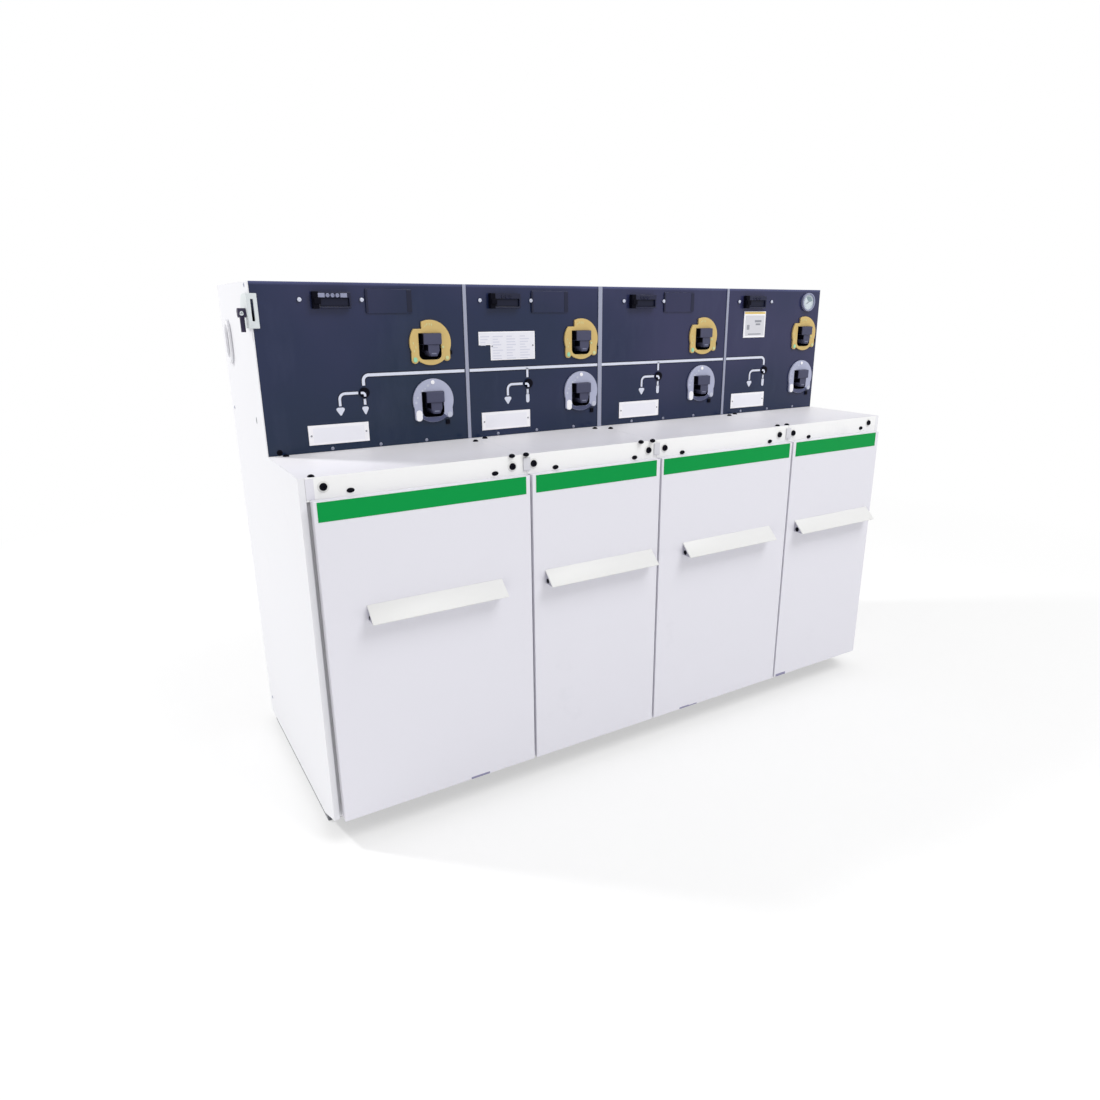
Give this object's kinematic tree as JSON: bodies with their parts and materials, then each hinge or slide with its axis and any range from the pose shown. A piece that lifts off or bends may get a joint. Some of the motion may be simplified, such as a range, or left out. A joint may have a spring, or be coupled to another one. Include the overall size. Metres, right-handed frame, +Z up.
{
  "type": "ring main unit",
  "caption": "Low indoor switchgear cabinet: row of lift-off cable-box covers with sloping grips, and above them a set-back dark control fascia with ringed lever sockets.",
  "frame": {"origin": "floor level under the middle of the unit's footprint, grips and lugs included", "axes": "+X to the right along the front, -Y towards the operator, +Z up"},
  "size_m": [1.6736, 0.679, 1.14],
  "materials": {
    "base_paint": "satin dark grey paint",
    "tank_steel": "welded stainless sheet",
    "cabinet_white": "smooth powder coat",
    "cover_white": "smooth powder coat",
    "grip_white": "smooth powder coat",
    "zinc_sheet": "plain grey sheet",
    "fascia_blue": "satin dark blue paint",
    "seam_grey": "satin grey paint",
    "ring_yellow": "moulded yellow plastic",
    "ring_grey": "moulded grey plastic",
    "socket_black": "moulded black plastic",
    "shutter_grey": "moulded dark grey plastic",
    "plate_black": "black plastic",
    "label_white": "plain printed plate",
    "gauge_rim": "plated rim"
  },
  "bodies": {
    "cabinet": {"base_frame": "base_paint", "tank_plinth": "base_paint", "switchgear_tank": "tank_steel", "left_side_panel": "cabinet_white", "right_side_panel": "cabinet_white", "rear_panel": "cabinet_white", "roof_panel": "cabinet_white", "bay_partitions": "zinc_sheet", "cable_box_top_1": "cabinet_white", "cable_box_top_2": "cabinet_white", "cable_box_top_3": "cabinet_white", "cable_box_top_4": "cabinet_white", "fascia_1": "fascia_blue", "fascia_2": "fascia_blue", "fascia_3": "fascia_blue", "fascia_4": "fascia_blue", "fascia_seams": "seam_grey", "earthing_ring_1": "ring_yellow", "earthing_ring_2": "ring_yellow", "earthing_ring_3": "ring_yellow", "earthing_ring_4": "ring_yellow", "line_switch_ring_1": "ring_grey", "line_switch_ring_2": "ring_grey", "line_switch_ring_3": "ring_grey", "line_switch_ring_4": "ring_grey", "lever_sockets": "socket_black", "socket_shutters": "shutter_grey", "voltage_indicator_1": "plate_black", "voltage_indicator_2": "plate_black", "voltage_indicator_3": "plate_black", "voltage_indicator_4": "plate_black", "function_plates": "plate_black", "position_indicators": "plate_black", "label_plates": "label_white", "pressure_gauge": "gauge_rim", "front_lug_left": "cabinet_white", "front_lug_right": "cabinet_white", "rear_loop_left": "cabinet_white", "rear_loop_right": "cabinet_white", "lug_pins": "plate_black", "joint_brackets": "zinc_sheet"},
    "cover_1": {"cable_cover_1": "cover_white", "cover_grip_1": "grip_white"},
    "cover_2": {"cable_cover_2": "cover_white", "cover_grip_2": "grip_white"},
    "cover_3": {"cable_cover_3": "cover_white", "cover_grip_3": "grip_white"},
    "cover_4": {"cable_cover_4": "cover_white", "cover_grip_4": "grip_white"}
  },
  "joints": [
    {"name": "cover_1_pull", "type": "slide", "parent": "cabinet", "child": "cover_1", "axis": [0, -1, 0], "range_m": [0, 0.3]},
    {"name": "cover_2_pull", "type": "slide", "parent": "cabinet", "child": "cover_2", "axis": [0, -1, 0], "range_m": [0, 0.3]},
    {"name": "cover_3_pull", "type": "slide", "parent": "cabinet", "child": "cover_3", "axis": [0, -1, 0], "range_m": [0, 0.3]},
    {"name": "cover_4_pull", "type": "slide", "parent": "cabinet", "child": "cover_4", "axis": [0, -1, 0], "range_m": [0, 0.3]}
  ]
}
